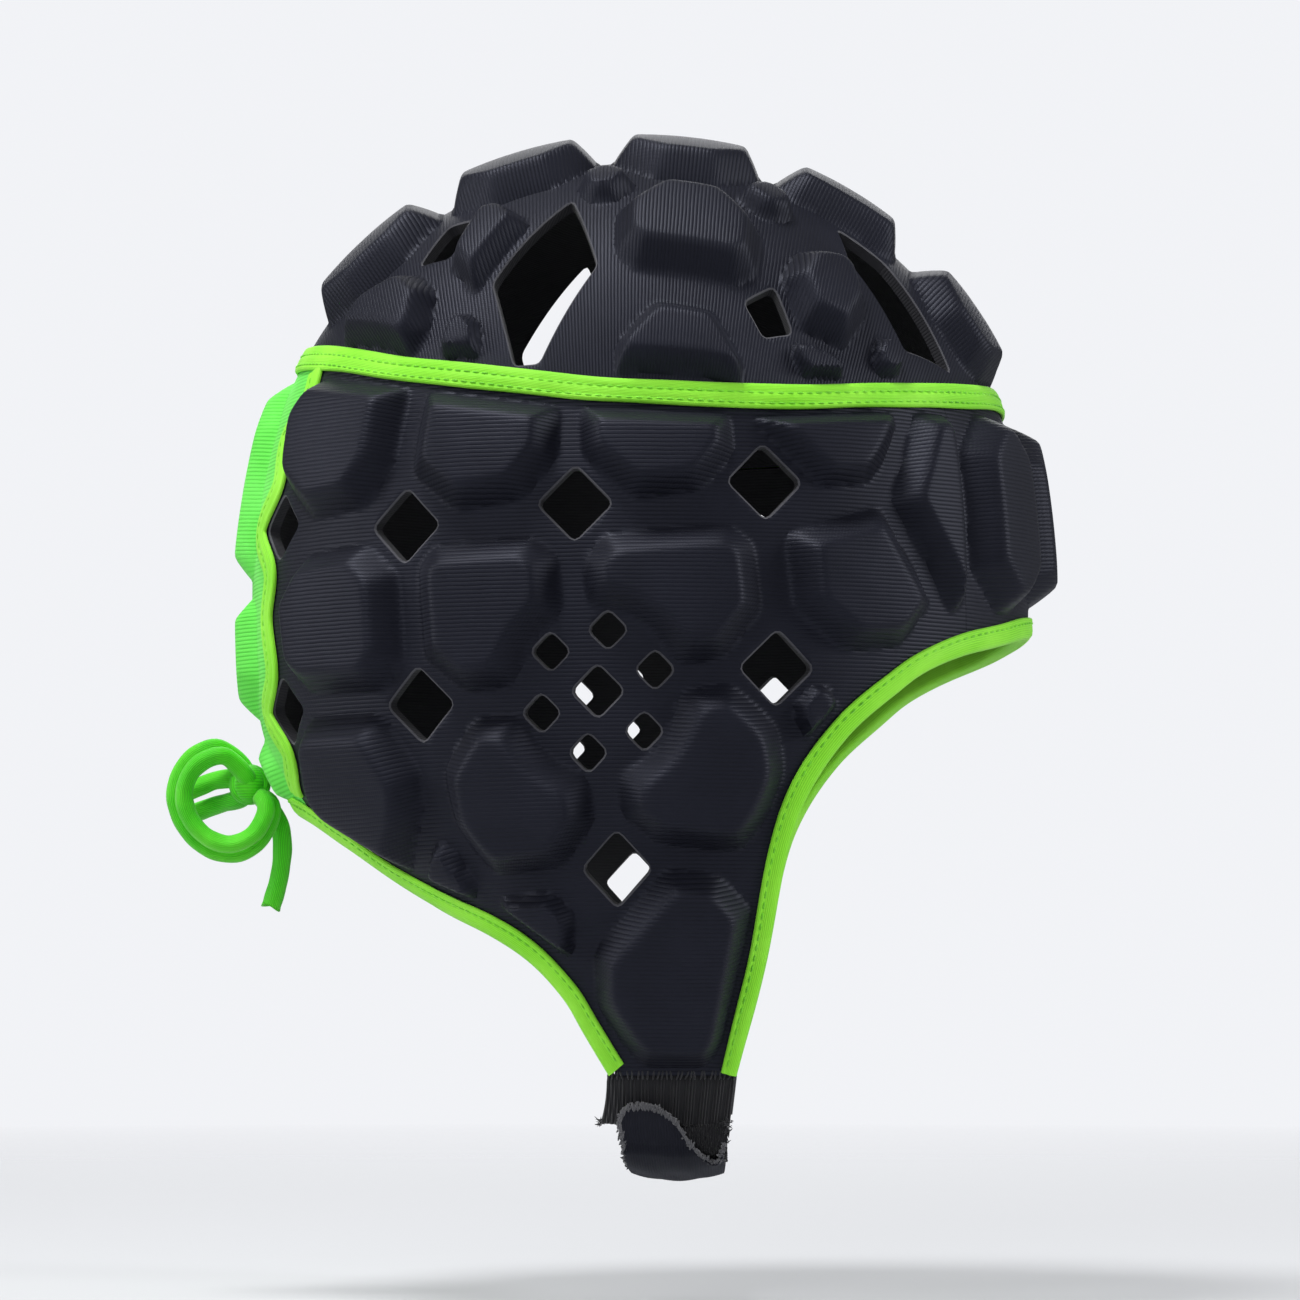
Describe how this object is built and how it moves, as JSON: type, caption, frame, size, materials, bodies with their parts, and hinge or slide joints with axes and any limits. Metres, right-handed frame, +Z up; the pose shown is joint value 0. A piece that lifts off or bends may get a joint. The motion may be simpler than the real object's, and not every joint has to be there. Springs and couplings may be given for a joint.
{
  "type": "rugby scrum cap",
  "caption": "Soft padded scrum cap with moulded foam pads, open vents, ear cut-outs, green tapes, a chin strap and a rear lace.",
  "frame": {"origin": "the inner top of the crown, where the cap rests on a head", "axes": "+X towards the face, +Y to the wearer's left, +Z up"},
  "size_m": [0.2423, 0.1782, 0.2824],
  "materials": {
    "knit": "matte",
    "green_knit": "matte",
    "green_tape": "matte",
    "elastic": "matte",
    "fleece": "matte",
    "lace": "matte"
  },
  "bodies": {
    "root": {"crown": "knit", "side_panel_right": "knit", "side_panel_left": "knit", "front_panel": "knit", "rear_panel": "green_knit", "crown_binding": "green_tape", "face_binding": "green_tape", "neck_binding": "green_tape", "rear_tape_right": "green_tape", "rear_tape_left": "green_tape", "strap_elastic_right": "elastic", "strap_elastic_left": "elastic", "chin_strap": "elastic", "strap_tab": "fleece", "lace_knot": "lace", "lace_loop_near": "lace", "lace_loop_far": "lace", "lace_tail_upper": "lace", "lace_tail_lower": "lace", "lace_tail_low": "lace"}
  },
  "joints": []
}
